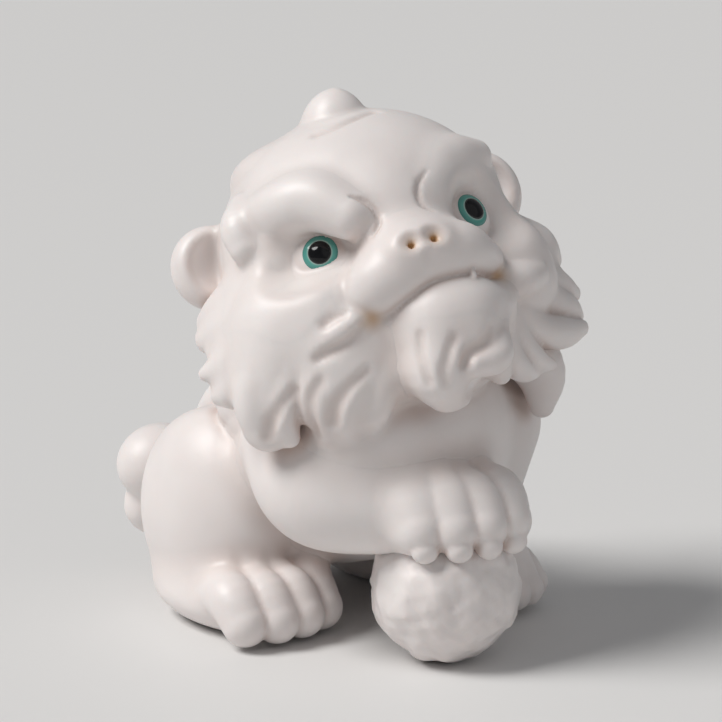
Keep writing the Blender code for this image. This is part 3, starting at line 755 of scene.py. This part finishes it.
def porcelain():
    """Satin bisque with faint clouding, with warm painted shade in its hollows and a painted amber glow at
    the nostrils and mouth corners.
    """
    material, nodes, links, shader = new_material("white_porcelain_look")
    cloud = noise(nodes, links, 55, 3)
    body = ramp(nodes, links, cloud, [(0.3, (0.77, 0.715, 0.70)), (0.7, (0.83, 0.785, 0.77))])
    # Painted shade: the figure's hollows are darkened to a warm brown, standing in for the shade and warm
    # bounced light in its creases
    shade = spread(nodes, links, mark(nodes, "hollow"), 0.0, 0.6)
    body = tinted(nodes, links, body, (0.50, 0.36, 0.30), shade)
    # Painted light: an amber glow at the nostrils and mouth corners, standing in for light shining through
    # the thin porcelain
    body = tinted(nodes, links, body, (0.52, 0.28, 0.09), mark(nodes, "painted_glow"))
    links.new(body, shader.inputs["Base Color"])
    links.new(spread(nodes, links, noise(nodes, links, 180, 2), 0.36, 0.5), shader.inputs["Roughness"])
    shader.inputs["IOR"].default_value = 1.5
    shader.inputs["Subsurface Weight"].default_value = 0.16
    shader.inputs["Subsurface Radius"].default_value = (1.0, 0.62, 0.48)
    shader.inputs["Subsurface Scale"].default_value = 0.0012
    bump = nodes.new("ShaderNodeBump")
    bump.inputs["Strength"].default_value = 0.12
    bump.inputs["Distance"].default_value = 0.0004
    links.new(noise(nodes, links, 420, 4), bump.inputs["Height"])
    links.new(bump.outputs["Normal"], shader.inputs["Normal"])
    return material


def glaze(name, stops, roughness, index):
    """A glossy glaze whose colour runs from the middle of the eye to its edge."""
    material, nodes, links, shader = new_material(name)
    body = ramp(nodes, links, mark(nodes, "ring"), stops)
    pool = spread(nodes, links, noise(nodes, links, 900, 3), -0.25, 0.45)
    body = tinted(nodes, links, body, stops[1][1], pool)
    links.new(body, shader.inputs["Base Color"])
    dull = spread(nodes, links, noise(nodes, links, 500, 2), roughness, roughness + 0.08)
    links.new(dull, shader.inputs["Roughness"])
    shader.inputs["IOR"].default_value = index
    return material


white = porcelain()
teal = glaze("teal_glaze_look", [(0.66, (0.45, 0.56, 0.52)), (0.76, (0.10, 0.36, 0.31)),
                                 (0.97, (0.07, 0.27, 0.24))], 0.14, 1.5)
black = glaze("black_glaze_look", [(0.0, (0.003, 0.003, 0.004)), (0.9, (0.005, 0.005, 0.006)),
                                   (1.0, (0.05, 0.06, 0.06))], 0.05, 1.38)


# Pieces

FACE = {"muzzle", "right_brow", "left_brow", "right_eyeball", "left_eyeball", "lower_jaw", "right_fang",
        "left_fang"}
CAP_RINGS = 8
CAP_STEPS = 48
CAP_BEVEL = 0.06
CAP_DEPTH = 0.6


def cap(name, side, radius, height, bulge, material, node):
    """A domed disc set in the eye."""
    place, way = eye_frame(side)
    across = np.cross((0, 0, 1.0), way)
    across /= np.linalg.norm(across)
    up = np.cross(way, across)
    profile = [(radius * t, math.sqrt(EYE_RADIUS ** 2 - (radius * t) ** 2) + height + bulge * (1 - t * t))
               for t in np.linspace(0, 1, CAP_RINGS)]
    profile.append((radius * 1.01, profile[-1][1] - CAP_BEVEL))
    profile.append((radius, profile[-1][1] - CAP_DEPTH))
    verts, faces = [], []
    for r, z in profile[1:]:
        for a in np.linspace(0, math.tau, CAP_STEPS, endpoint=False):
            verts.append(place + way * z + across * (r * math.cos(a)) + up * (r * math.sin(a)))
    top, low = len(verts), len(verts) + 1
    verts.append(place + way * profile[0][1])
    verts.append(place + way * profile[-1][1])
    last = (len(profile) - 2) * CAP_STEPS
    for i in range(CAP_STEPS):
        j = (i + 1) % CAP_STEPS
        faces.append((top, i, j))
        faces.append((low, last + j, last + i))
        for k in range(0, last, CAP_STEPS):
            faces.append((k + i, k + CAP_STEPS + i, k + CAP_STEPS + j, k + j))
    out = np.array(verts) - place
    out -= np.outer(out @ way, way)
    ring = np.linalg.norm(out, axis=1) / radius
    fit(link(name, in_figure(verts), faces, material, {"ring": ring}), node)


for name in names:
    verts, faces = skin(piece_form(name), FINE if name in FACE else PLAIN)
    fit(link(name + "_skin", verts, faces, white, marks_of(verts)), name)
verts, faces = skin(ball_form, PLAIN)
fit(link("ball_skin", verts, faces, white, marks_of(verts)), "ball")
for side, name in SIDES:
    cap(name + "_iris_skin", side, IRIS_RADIUS, 0.12, 0.0, teal, name + "_iris")
    cap(name + "_pupil_skin", side, PUPIL_RADIUS, 0.17, 0.25, black, name + "_pupil")


# Floor, light and camera, with the floor in metres

FLOOR_HALF = 3.0
floor_corners = [(x * FLOOR_HALF, y * FLOOR_HALF, 0) for x, y in ((-1, -1), (1, -1), (1, 1), (-1, 1))]
floor_paint, _, _, floor_shader = new_material("floor_paint")
floor_shader.inputs["Base Color"].default_value = (0.74, 0.735, 0.73, 1)
floor_shader.inputs["Roughness"].default_value = 0.6
floor_mesh = bpy.data.meshes.new("floor")
floor_mesh.from_pydata(floor_corners, [], [(0, 1, 2, 3)])
floor_mesh.materials.append(floor_paint)
floor = bpy.data.objects.new("floor", floor_mesh)
bpy.context.scene.collection.objects.link(floor)

world = bpy.data.worlds.new("studio")
bpy.context.scene.world = world
world.use_nodes = True
world.node_tree.nodes["Background"].inputs["Color"].default_value = (0.95, 0.97, 1.0, 1)
world.node_tree.nodes["Background"].inputs["Strength"].default_value = 0.2


def toward(azimuth, elevation):
    """The way to a place round the figure, from its front, in degrees."""
    a, e = math.radians(azimuth), math.radians(elevation)
    return Vector((math.sin(a) * math.cos(e), -math.cos(a) * math.cos(e), math.sin(e)))


def soft_sun(name, azimuth, elevation, strength, softness, colour):
    lamp = bpy.data.lights.new(name, "SUN")
    lamp.energy, lamp.angle, lamp.color = strength, math.radians(softness), colour
    item = bpy.data.objects.new(name, lamp)
    bpy.context.scene.collection.objects.link(item)
    item.rotation_mode = "QUATERNION"
    item.rotation_quaternion = toward(azimuth, elevation).to_track_quat("Z", "Y")


soft_sun("key", -120, 50, 2.7, 30, (1.0, 0.985, 0.965))
soft_sun("fill", 0, 35, 0.28, 80, (1.0, 0.985, 0.97))

VIEW_AZIMUTH, VIEW_ELEVATION = -45, 11.5
VIEW_FAR = 420.0
PX_PER_MM = 6.3
PHOTO_PX = 722
SENSOR = 36
AIM = Vector((2.78, 8.76, 40.08))
back = toward(VIEW_AZIMUTH, VIEW_ELEVATION)
lens = bpy.data.cameras.new("camera")
lens.sensor_width = SENSOR
lens.lens = PX_PER_MM * VIEW_FAR * SENSOR / PHOTO_PX
lens.clip_start = 0.01
camera = bpy.data.objects.new("camera", lens)
bpy.context.scene.collection.objects.link(camera)
camera.location = (AIM + back * VIEW_FAR + Vector(SHIFT)) * MM
camera.rotation_mode = "QUATERNION"
camera.rotation_quaternion = (-back).to_track_quat("-Z", "Y")
bpy.context.scene.camera = camera
bpy.context.scene.view_settings.view_transform = "Standard"
